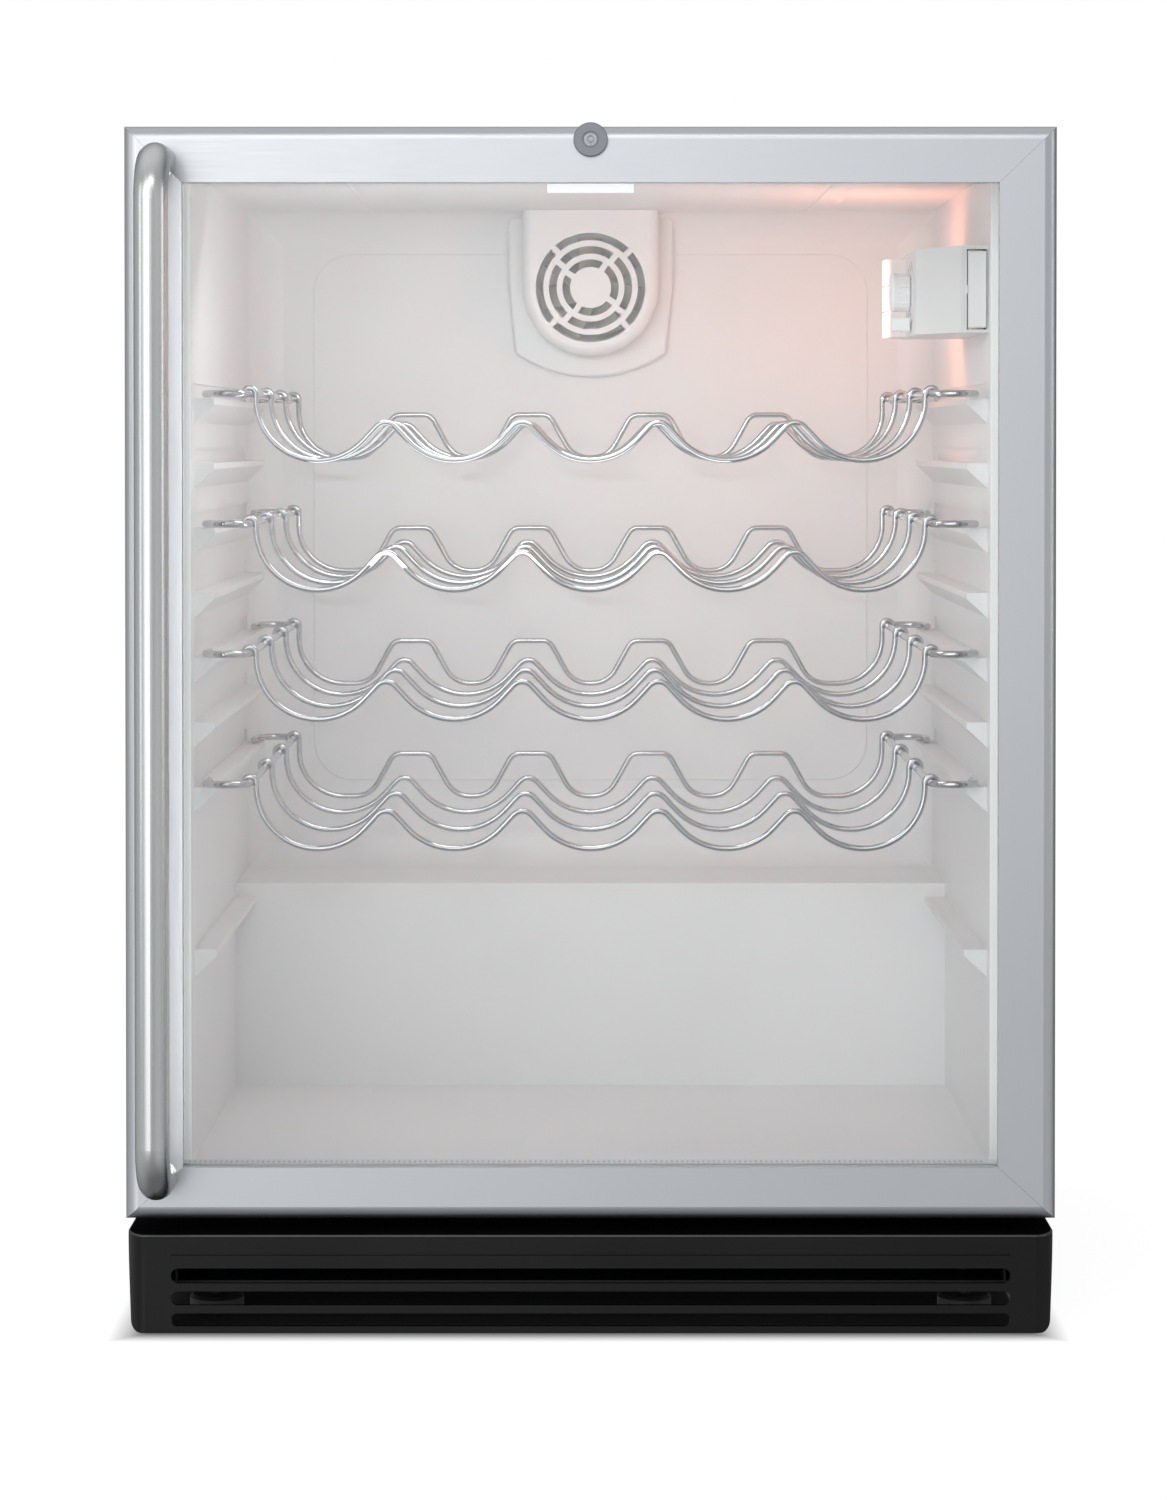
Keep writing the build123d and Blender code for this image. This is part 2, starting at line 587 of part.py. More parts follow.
def mounting_bolt(x, y):
    return rod_z(x, y, PAN_BOTTOM - 3, 46, 3) + rod_z(x, y, PAN_BOTTOM - 4, PAN_BOTTOM, 5.5)


def condenser_coil():
    """Serpentine tube with wire fins on both faces."""
    y, left, right, low, pitch, passes = 500.0, -262.0, -120.0, 48.0, 22.0, 7
    points = []
    for index in range(passes):
        ends = [left, right] if index % 2 == 0 else [right, left]
        points += [(x, y, low + index * pitch) for x in ends]
    tube = bent_wire(points, pitch / 2 - 0.2, 2.5)
    fins = []
    for face in (-3.4, 3.4):
        for index in range(10):
            x = left + 20 + index * 11
            fins.append(rod_z(x, y + face, low - 4, low + (passes - 1) * pitch + 4, 0.8))
    return [tube] + fins


def condenser_shroud():
    """Square fan frame with a foot on the base pan and two motor struts."""
    x, z = CONDENSER_FAN_X, CONDENSER_FAN_Z
    frame = block(x - 58, x + 58, 425, 450, z - 58, z + 58) - rod_y(x, 425, 450, z, 52)
    foot = block(x - 40, x + 40, 425, 450, PAN_BOTTOM + 2, z - 57)
    struts = block(x - 54, x + 54, 450, 453, z - 5, z + 5) + block(x - 5, x + 5, 450, 453, z - 54, z + 54)
    return frame + foot + struts - rod_y(x, 449, 454, z, 2.5)


def bladed_rotor(x, z, y0, y1, hub_radius, tip_radius, count, bore):
    """Axial fan wheel about the y axis, with a blind bore for the motor shaft at its rear."""
    middle, chord = (y0 + y1) / 2, (y1 - y0) / math.sin(math.radians(32)) - 3
    wheel = rod_y(x, y0, y1, z, hub_radius)
    for index in range(count):
        blade = Box(chord, 1.4, tip_radius - hub_radius + 3)
        blade = Pos(0, 0, (tip_radius + hub_radius - 3) / 2) * Rot(0, 0, 32) * blade
        wheel += Pos(x, middle, z) * Rot(0, 360 * index / count, 0) * blade
    return wheel - rod_y(x, y0 + 3, y1, z, bore)


def build_refrigeration():
    shell = compressor()
    save("compressor", shell)
    save("compressor_grommets", *[grommet(x, y) for x, y in GROMMET_PLACES])
    save("compressor_bolts", *[mounting_bolt(x, y) for x, y in GROMMET_PLACES])
    terminal = block(COMPRESSOR_X + 60, COMPRESSOR_X + 104, COMPRESSOR_Y - 30, COMPRESSOR_Y + 30, 62, 132)
    terminal = fillet(terminal.edges().filter_by(Axis.X), 5)
    save("terminal_cover", terminal - shell)
    save("condenser_coil", *condenser_coil())
    save("condenser_fan_shroud", condenser_shroud())
    x, z = CONDENSER_FAN_X, CONDENSER_FAN_Z
    save("condenser_fan_motor", rod_y(x, 453, 476, z, 17) + rod_y(x, 434, 453, z, 2))
    rotor = bladed_rotor(x, z, 428, 447, 15, 47, 5, 2 + RUNNING)
    save("condenser_fan_blade", rotor)

    drier = rod_z(215, 440, 70, 150, 9) + rod_z(215, 440, 50, 170, 3)
    suction = [
        (COMPRESSOR_X - 60, COMPRESSOR_Y, 100), (COMPRESSOR_X - 105, COMPRESSOR_Y, 100),
        (COMPRESSOR_X - 105, COMPRESSOR_Y, 190), (COMPRESSOR_X - 60, COMPRESSOR_Y + 40, 208),
    ]
    discharge = [
        (COMPRESSOR_X - 55, COMPRESSOR_Y - 20, 70), (COMPRESSOR_X - 120, COMPRESSOR_Y - 20, 70),
        (COMPRESSOR_X - 120, 492, 49), (COMPRESSOR_X - 166, 500, 48),
    ]
    tubes = [bent_wire(route, 9, 2.5) - shell for route in (suction, discharge)]
    save("refrigerant_circuit", drier, *tubes)
    tray = block(-5, 105, 432, 518, 160, 178) - block(-3, 103, 434, 516, 162, 178)
    save("evaporation_tray", tray)


# ---- interior fittings ----
def fan_base_plate():
    """Plate on the back wall: rounded shoulders above, narrowing to a shallow arc below."""
    left = [(-63.5, 744), (-63.5, 700), (-58, 645)]
    top = Line((-57, 750.5), (57, 750.5))
    shoulder_r = ThreePointArc((57, 750.5), (61.6, 748.6), (63.5, 744))
    shoulder_l = ThreePointArc((-63.5, 744), (-61.6, 748.6), (-57, 750.5))
    right = Polyline((63.5, 744), (63.5, 700), (58, 645))
    bottom = ThreePointArc((58, 645), (0, 627), (-58, 645))
    outline = make_face(Curve() + [top, shoulder_r, right, bottom, Polyline(*reversed(left)), shoulder_l])
    plate = extrude(Plane.XZ.offset(-LINER_REAR) * outline, amount=10)
    face = plate.edges().group_by(Axis.Y)[0]
    return fillet(face, 2.5) & rounded_cavity(0)


def cover_body(half, top, y0, y1):
    """D-shaped block: straight sides from the ceiling, round below the fan axis."""
    upper = block(-half, half, y0, y1, FAN_Z, top)
    return upper + rod_y(0, y0, y1, FAN_Z, half)


def ring_slot(outer, inner, twist):
    """Four arc slots of one ring, cut clear through the cover's face."""
    y0, y1 = FAN_COVER_FRONT - 1, FAN_COVER_FRONT + 4
    arcs = rod_y(0, y0, y1, FAN_Z, outer) - rod_y(0, y0, y1, FAN_Z, inner)
    for turn in (45, 135):
        spoke = Box(100, y1 - y0 + 2, 4.5)
        arcs -= Pos(0, (y0 + y1) / 2, FAN_Z) * Rot(0, turn - twist, 0) * spoke
    return arcs


def fan_cover():
    top = LINER_CEILING - 0.2
    shell = cover_body(51.8, top, FAN_COVER_FRONT, FAN_PLATE_FRONT)
    rim = [edge for edge in shell.edges().group_by(Axis.Y)[0] if edge.center().Z < top - 1]
    shell = fillet(rim, 7)
    shell -= cover_body(48.8, top - 3, FAN_COVER_FRONT + 2.5, FAN_PLATE_FRONT)
    for outer, inner, twist in RING_SLOTS:
        shell -= ring_slot(outer, inner, twist)
    return shell & rounded_cavity(0)


def build_fan():
    save("fan_base_plate", fan_base_plate())
    save("fan_cover", fan_cover())
    motor = rod_y(0, 477, FAN_PLATE_FRONT, FAN_Z, 17) + rod_y(0, 467, 477, FAN_Z, 2)
    save("fan_motor", motor)
    save("fan_impeller", bladed_rotor(0, FAN_Z, 462.5, 475, 12, 38, 7, 2 + RUNNING))


def control_housing():
    """Wall box: front bezel, slanted face, then the inner face with dial and lamp."""
    outer = [(LINER_HALF, 72), (245, 72), (219.4, 125), (219.4, 245), (LINER_HALF, 245)]
    inner = [(LINER_HALF, 74), (246.2, 74), (221.4, 125.6), (221.4, 243), (LINER_HALF, 243)]
    box = prism_z(outer, CONTROL_LOW, CONTROL_HIGH)
    box = fillet(box.edges().filter_by(Axis.Z).group_by(Axis.X)[0], 4)
    box -= prism_z(inner, CONTROL_LOW + 2, CONTROL_HIGH - 2)
    box -= block(248.6, 262, 71, 75, ROCKER_Z - 26.6, ROCKER_Z + 26.6)
    box -= rod_x(218, 222, KNOB_Y, KNOB_Z, 3.6)
    return box - block(218, 222, 209, 240, 655, 700)


def light_rocker():
    """Tall rocker in the bezel, with the axle it rocks on."""
    cap = block(249.4, 261.2, 69, 75.5, ROCKER_Z - 25.4, ROCKER_Z + 25.4)
    cap = fillet(cap.edges().filter_by(Axis.X).group_by(Axis.Y)[0], 2)
    stem = block(252, 258, 75.5, 79.5, ROCKER_Z - 6, ROCKER_Z + 6)
    return cap + stem + rod_x(248, 262, 79.5, ROCKER_Z, 1.5)


def thermostat_knob():
    """Ribbed knob on the thermostat shaft, with a pointer ridge on its face."""
    knob = rod_x(205.4, 217.9, KNOB_Y, KNOB_Z, 13.2)
    knob = fillet(knob.edges().filter_by(GeomType.CIRCLE).group_by(Axis.X)[0], 2)
    for index in range(24):
        flute = Pos(0, 0, 13.9) * Rot(0, 90, 0) * Cylinder(1.1, 9)
        knob -= Pos(214, KNOB_Y, KNOB_Z) * Rot(index * 15, 0, 0) * flute
    knob += block(204.4, 205.9, KNOB_Y - 1, KNOB_Y + 1, KNOB_Z, KNOB_Z + 10)
    return knob - rod_x(209, 218, KNOB_Y, KNOB_Z, 3 + RUNNING)


def lamp_lens():
    """Three-segment diffuser on the inner rear edge of the housing."""
    outline = [(219.4, 205), (207, 208), (205.4, 214), (205.4, 236), (209, 243), (219.4, 245)]
    core = [(219.4, 207), (209, 210), (207.4, 215), (207.4, 235), (210, 241), (219.4, 243)]
    lens = prism_z(outline, 650, 704) - prism_z(core, 652, 702)
    for z in (668, 686):
        lens -= block(204, 208.2, 204, 246, z - 0.7, z + 0.7) & prism_z(outline, 650, 704)
    return lens


def build_control():
    save("control_housing", control_housing())
    dial = rod_x(218.4, 219.4, KNOB_Y, KNOB_Z, 21) - rod_x(218.4, 219.4, KNOB_Y, KNOB_Z, 3.6)
    save("dial_plate", dial)
    body = block(223, 250, KNOB_Y - 15, KNOB_Y + 15, KNOB_Z - 17, KNOB_Z + 17)
    save("thermostat", body + rod_x(210, 223, KNOB_Y, KNOB_Z, 3))
    save("thermostat_knob", thermostat_knob())
    save("light_rocker", light_rocker())
    save("lamp_lens", lamp_lens())
    save("lamp_socket", rod_z(236, 224, CONTROL_LOW + 2, 664, 8))
    bulb = rod_z(236, 224, 664, 686, 9) + Pos(236, 224, 686) * Sphere(9)
    save("lamp_bulb", bulb)


# ---- racks ----
def rack_end(side):
    """Outline points and corner radii where a wave rises and curls over a side rod."""
    curl = WAVE_RADIUS + SIDE_ROD_RADIUS - 0.5
    riser, tail = SIDE_ROD_X - curl, SIDE_ROD_X + curl
    points = [(riser, -CRADLE_DROP), (riser, curl), (tail, curl), (tail, -3.0)]
    radii = [riser - 2 * CRADLE_PITCH - 0.2, curl - 0.1, curl - 0.1]
    points = [(side * x, z) for x, z in points]
    return (points, radii) if side > 0 else (points[::-1], radii[::-1])


def wave_points():
    """Zigzag corners of the bottle wave; rounding them gives the crests and cradles."""
    half = CRADLE_PITCH / 2
    trough_centre, crest_centre = TROUGH_ARC - CRADLE_DROP, -CREST_DROP - CREST_ARC
    span = math.hypot(half, trough_centre - crest_centre)
    lean = math.atan2(trough_centre - crest_centre, half)
    slope = math.pi / 2 - lean - math.acos((TROUGH_ARC + CREST_ARC) / span)
    trough = trough_centre - TROUGH_ARC / math.cos(slope)
    crest = crest_centre + CREST_ARC / math.cos(slope)
    run_out = (crest + CRADLE_DROP) / math.tan(slope)

    points, radii = rack_end(-1)
    points = points + [(-3 * half - run_out, -CRADLE_DROP)]
    radii = radii + [TROUGH_ARC - 0.2]
    for index in range(-3, 4):
        is_crest = index % 2 != 0
        points.append((index * half, crest if is_crest else trough))
        radii.append(CREST_ARC if is_crest else TROUGH_ARC)
    points.append((3 * half + run_out, -CRADLE_DROP))
    radii.append(TROUGH_ARC - 0.2)
    end_points, end_radii = rack_end(1)
    return points + end_points, radii + end_radii


def rear_points():
    """Corners of the flat-topped rear wire."""
    low, high, flat, foot = -CRADLE_DROP, -11.5, 14.0, 32.0
    end_arc, low_arc, top_arc = 34.0, 20.0, 9.0
    points, radii = rack_end(-1)
    radii[-1] = end_arc
    for crest in (-1.5, -0.5, 0.5, 1.5):
        centre = crest * CRADLE_PITCH
        points += [(centre - foot, low), (centre - flat, high), (centre + flat, high), (centre + foot, low)]
        radii += [low_arc, top_arc, top_arc, low_arc]
    end_points, end_radii = rack_end(1)
    end_radii[0] = end_arc
    return points + end_points, radii + end_radii


def side_rod(side):
    """Side rod whose two ends turn outward in flat hooks that rest on the liner's ribs."""
    inner, outer = side * SIDE_ROD_X, side * (SIDE_ROD_X + 2 * HOOK_RADIUS)
    front, rear = RACK_FRONT - 2 - HOOK_RADIUS, RACK_REAR + 2 + HOOK_RADIUS
    tail = 18.0 + HOOK_RADIUS
    points = [
        (outer, front + tail, 0), (outer, front, 0), (inner, front, 0),
        (inner, rear, 0), (outer, rear, 0), (outer, rear - tail, 0),
    ]
    return bent_wire(points, HOOK_RADIUS - 0.1, SIDE_ROD_RADIUS)


def rack():
    """One bottle rack about its own side-rod height."""
    span = RACK_REAR - RACK_FRONT
    shape = side_rod(-1)
    wave, wave_radii = wave_points()
    rear, rear_radii = rear_points()
    wires = [(RACK_FRONT + step * span / 3, wave, wave_radii) for step in range(3)]
    wires.append((RACK_REAR, rear, rear_radii))
    for y, outline, radii in wires:
        shape += bent_wire([(x, y, z) for x, z in outline], radii, WAVE_RADIUS)
    return shape + side_rod(1)


def build_racks():
    shape = rack()
    for index in range(RACK_COUNT):
        save(f"rack_{index + 1}", Pos(0, 0, RACK_HEIGHT - index * RACK_PITCH) * shape)


os.makedirs("parts", exist_ok=True)
build_door()
build_hinges()
build_cabinet()
build_refrigeration()
build_fan()
build_control()
build_racks()
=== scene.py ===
import json
import math

import bpy
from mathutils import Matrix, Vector


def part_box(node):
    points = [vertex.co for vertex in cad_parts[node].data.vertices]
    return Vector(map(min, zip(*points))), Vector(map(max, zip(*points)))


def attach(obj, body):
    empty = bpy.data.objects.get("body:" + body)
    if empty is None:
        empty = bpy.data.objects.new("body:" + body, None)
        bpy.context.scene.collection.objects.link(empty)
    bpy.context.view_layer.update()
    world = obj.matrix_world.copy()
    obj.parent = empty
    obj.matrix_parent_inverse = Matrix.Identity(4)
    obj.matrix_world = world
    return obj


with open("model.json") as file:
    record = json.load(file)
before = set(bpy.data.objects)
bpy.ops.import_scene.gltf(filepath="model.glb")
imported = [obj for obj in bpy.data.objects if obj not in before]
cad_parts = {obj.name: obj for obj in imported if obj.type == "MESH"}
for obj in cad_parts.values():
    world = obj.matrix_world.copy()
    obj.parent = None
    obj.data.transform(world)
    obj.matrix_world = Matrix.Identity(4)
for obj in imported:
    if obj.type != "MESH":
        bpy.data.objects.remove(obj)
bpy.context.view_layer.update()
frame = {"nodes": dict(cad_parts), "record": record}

# A built-under wine cooler seen from the front: materials, small details, light and camera
# around the fixed CAD frame. Lengths are metres, x to the right, y to the back, z up.

NODES = frame["nodes"]

# ---- camera and room ----
EYE_DISTANCE = 2.425
EYE_HEIGHT = 0.579
EYE_TILT = math.radians(0.87)
LENS = 90.64
SHIFT_X = -0.0047
SHIFT_Y = -0.169
FLOOR_HALF = 9.0

# ---- lamp in the control box ----
LAMP_COLOUR = (1.0, 0.33, 0.18)
LAMP_POWER = 0.24

# ---- small details ----
PERFORATION_PITCH = 0.0034
PERFORATION_RADIUS = 0.00055
PERFORATION_HEIGHT = 0.00008
PERFORATION_ROWS = (-0.0018, 0.0018)
SPACER_END = 0.01
SPACER_BAR_TOP = 0.0057
SPACER_SIDE_WALL = 0.0030
TICK_COUNT = 11
TICK_CIRCLE = 0.0178
TICK_REACH = 0.0010
TICK_REACH_END = 0.0016
TICK_HALF_WIDTH = 0.0004
DIAL_TURN = 150
RELIEF_EDGE = 0.0008

RAILS = ("door_rail_top", "door_rail_bottom")
STILES = ("door_stile_left", "door_stile_right")

# ---- edge rounding of moulded and folded parts: node and bevel width ----
EDGE_SEGMENTS = 3
EDGE_ANGLE = math.radians(30.0)
ROUNDED = (
    ("inner_liner", 0.0020), ("control_housing", 0.0007), ("door_switch_cover", 0.0006),
    ("kick_grille", 0.0005), ("outer_wrapper", 0.0004), ("wall_spacers", 0.0012),
    ("lamp_lens", 0.0005), ("glazing_bead", 0.0008), ("door_gasket", 0.0006),
    ("hinge_plate_upper", 0.0004), ("hinge_plate_lower", 0.0004), ("machine_cover", 0.0003),
    ("light_rocker", 0.0003), ("fan_cover", 0.0004), ("fan_base_plate", 0.0004),
)


# ---- material helpers ----
def blank(name):
    """A new node material with its tree and its Principled shader."""
    material = bpy.data.materials.new(name)
    material.use_nodes = True
    return material, material.node_tree, material.node_tree.nodes["Principled BSDF"]


def add(tree, kind, **values):
    """A node with plain attributes, or inputs where the name is an input's."""
    node = tree.nodes.new(kind)
    for key, value in values.items():
        if hasattr(node, key):
            setattr(node, key, value)
        else:
            node.inputs[key.replace("_", " ")].default_value = value
    return node


def noise(tree, scale, detail=3.0, roughness=0.55):
    """Noise in the object's own space; scale is cells per metre, one number or x, y, z."""
    place = add(tree, "ShaderNodeTexCoord")
    spread = add(tree, "ShaderNodeMapping")
    spread.inputs["Scale"].default_value = scale if isinstance(scale, tuple) else (scale,) * 3
    tree.links.new(place.outputs["Object"], spread.inputs["Vector"])
    texture = add(tree, "ShaderNodeTexNoise", Scale=1.0, Detail=detail, Roughness=roughness)
    tree.links.new(spread.outputs["Vector"], texture.inputs["Vector"])
    return texture.outputs["Fac"]


def mapped(tree, source, low, high, from_low=0.3, from_high=0.7):
    """A value moved from one range into another."""
    ramp = add(tree, "ShaderNodeMapRange")
    ramp.inputs["From Min"].default_value = from_low
    ramp.inputs["From Max"].default_value = from_high
    ramp.inputs["To Min"].default_value = low
    ramp.inputs["To Max"].default_value = high
    tree.links.new(source, ramp.inputs["Value"])
    return ramp.outputs["Result"]


def mixed(tree, factor, first, second):
    """Two colours mixed by a factor."""
    mix = add(tree, "ShaderNodeMix", data_type="RGBA")
    mix.inputs["A"].default_value = (*first, 1.0)
    mix.inputs["B"].default_value = (*second, 1.0)
    tree.links.new(factor, mix.inputs["Factor"])
    return mix.outputs["Result"]


def bump(tree, height, distance, normal=None):
    """Surface relief of that height in metres, over another one if given."""
    node = add(tree, "ShaderNodeBump", Strength=1.0, Distance=distance)
    tree.links.new(height, node.inputs["Height"])
    if normal is not None:
        tree.links.new(normal, node.inputs["Normal"])
    return node.outputs["Normal"]


def surface(name, tones, rough, grain, relief, mottle=6.0, metallic=0.0, wave=None, **fixed):
    """A solid finish: two tones in a broad mottle, and a fine grain in roughness and relief."""
    material, tree, shader = blank(name)
    shader.inputs["Metallic"].default_value = metallic
    for key, value in fixed.items():
        shader.inputs[key.replace("_", " ")].default_value = value
    tone = mapped(tree, noise(tree, mottle, 4.0), 0.0, 1.0)
    tree.links.new(mixed(tree, tone, *tones), shader.inputs["Base Color"])
    fine = noise(tree, grain, 3.0)
    tree.links.new(mapped(tree, fine, *rough), shader.inputs["Roughness"])
    normal = bump(tree, fine, relief)
    if wave is not None:
        normal = bump(tree, noise(tree, wave[0], 2.0), wave[1], normal)
    tree.links.new(normal, shader.inputs["Normal"])
    return material


def clear_glass():
    """Float glass: passes light straight; its outward faces mirror by Fresnel, with faint smears."""
    material, tree, shader = blank("clear_glass_finish")
    tree.nodes.remove(shader)
    through = add(tree, "ShaderNodeBsdfTransparent", Color=(0.991, 0.994, 0.993, 1.0))
    mirror = add(tree, "ShaderNodeBsdfGlossy", Color=(1.0, 1.0, 1.0, 1.0))
    tree.links.new(mapped(tree, noise(tree, 7.0, 5.0), 0.01, 0.05), mirror.inputs["Roughness"])
    fresnel = add(tree, "ShaderNodeFresnel", IOR=1.5)
    side = add(tree, "ShaderNodeNewGeometry")
    outward = add(tree, "ShaderNodeMath", operation="SUBTRACT")
    outward.inputs[0].default_value = 1.0
    tree.links.new(side.outputs["Backfacing"], outward.inputs[1])
    share = add(tree, "ShaderNodeMath", operation="MULTIPLY")
    tree.links.new(fresnel.outputs["Fac"], share.inputs[0])
    tree.links.new(outward.outputs["Value"], share.inputs[1])
    mix = add(tree, "ShaderNodeMixShader")
    tree.links.new(share.outputs["Value"], mix.inputs["Fac"])
    tree.links.new(through.outputs["BSDF"], mix.inputs[1])
    tree.links.new(mirror.outputs["BSDF"], mix.inputs[2])
    tree.links.new(mix.outputs["Shader"], tree.nodes["Material Output"].inputs["Surface"])
    return material


def lamp_diffuser():
    """Translucent cover that glows along its inner edge, where the bulb's light leaves it."""
    material, tree, shader = blank("lamp_diffuser_finish")
    tone = mapped(tree, noise(tree, 60.0, 3.0), 0.0, 1.0)
    colour = mixed(tree, tone, (0.70, 0.65, 0.63), (0.76, 0.70, 0.68))
    tree.links.new(colour, shader.inputs["Base Color"])
    shader.inputs["Subsurface Weight"].default_value = 0.3
    shader.inputs["Subsurface Radius"].default_value = (0.008, 0.005, 0.004)
    shader.inputs["Emission Color"].default_value = (1.0, 0.80, 0.68, 1.0)
    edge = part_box("lamp_lens")[0].x
    place = add(tree, "ShaderNodeTexCoord")
    axes = add(tree, "ShaderNodeSeparateXYZ")
    tree.links.new(place.outputs["Object"], axes.inputs["Vector"])
    glow = mapped(tree, axes.outputs["X"], 0.85, 0.05, edge + 0.0012, edge + 0.0045)
    tree.links.new(glow, shader.inputs["Emission Strength"])
    tree.links.new(mapped(tree, noise(tree, 900.0), 0.25, 0.4), shader.inputs["Roughness"])
    return material


def plinth_plastic():
    """Black moulded plastic: plain faces, a painted highlight as extra gloss on the rounded edges, and
    painted shade as no reflection on the level ledge.
    """
    material = surface("plinth_plastic_finish", ((0.006, 0.006, 0.0065), (0.003, 0.003, 0.0035)),
                       (0.30, 0.44), 1100.0, 0.00004)
    tree = material.node_tree
    # Specular level by the slope of the face: painted highlight on the rounded edges, painted shade on
    # the level ledge.
    shape = add(tree, "ShaderNodeNewGeometry")
    axes = add(tree, "ShaderNodeSeparateXYZ")
    tree.links.new(shape.outputs["Normal"], axes.inputs["Vector"])
    edge = mapped(tree, axes.outputs["Z"], 0.2, 1.0, 0.05, 0.30)
    face = mapped(tree, axes.outputs["Z"], 1.0, 0.0, 0.90, 0.98)
    sheen_and_shade = add(tree, "ShaderNodeMath", operation="MULTIPLY")
    tree.links.new(edge, sheen_and_shade.inputs[0])
    tree.links.new(face, sheen_and_shade.inputs[1])
    tree.links.new(sheen_and_shade.outputs["Value"], tree.nodes["Principled BSDF"].inputs["Specular IOR Level"])
    return material


def glowing_bulb():
    """Pearl glass bulb with an even warm glow and a slightly stronger middle."""
    material, tree, shader = blank("lamp_glass_finish")
    tone = mapped(tree, noise(tree, 300.0, 2.0), 0.0, 1.0)
    colour = mixed(tree, tone, (1.0, 0.9, 0.78), (1.0, 0.94, 0.86))
    tree.links.new(colour, shader.inputs["Base Color"])
    shader.inputs["Roughness"].default_value = 0.4
    shader.inputs["Emission Color"].default_value = (1.0, 0.66, 0.42, 1.0)
    facing = add(tree, "ShaderNodeLayerWeight", Blend=0.4)
    glow = mapped(tree, facing.outputs["Facing"], 6.0, 3.0, 0.0, 1.0)
    tree.links.new(glow, shader.inputs["Emission Strength"])
    return material


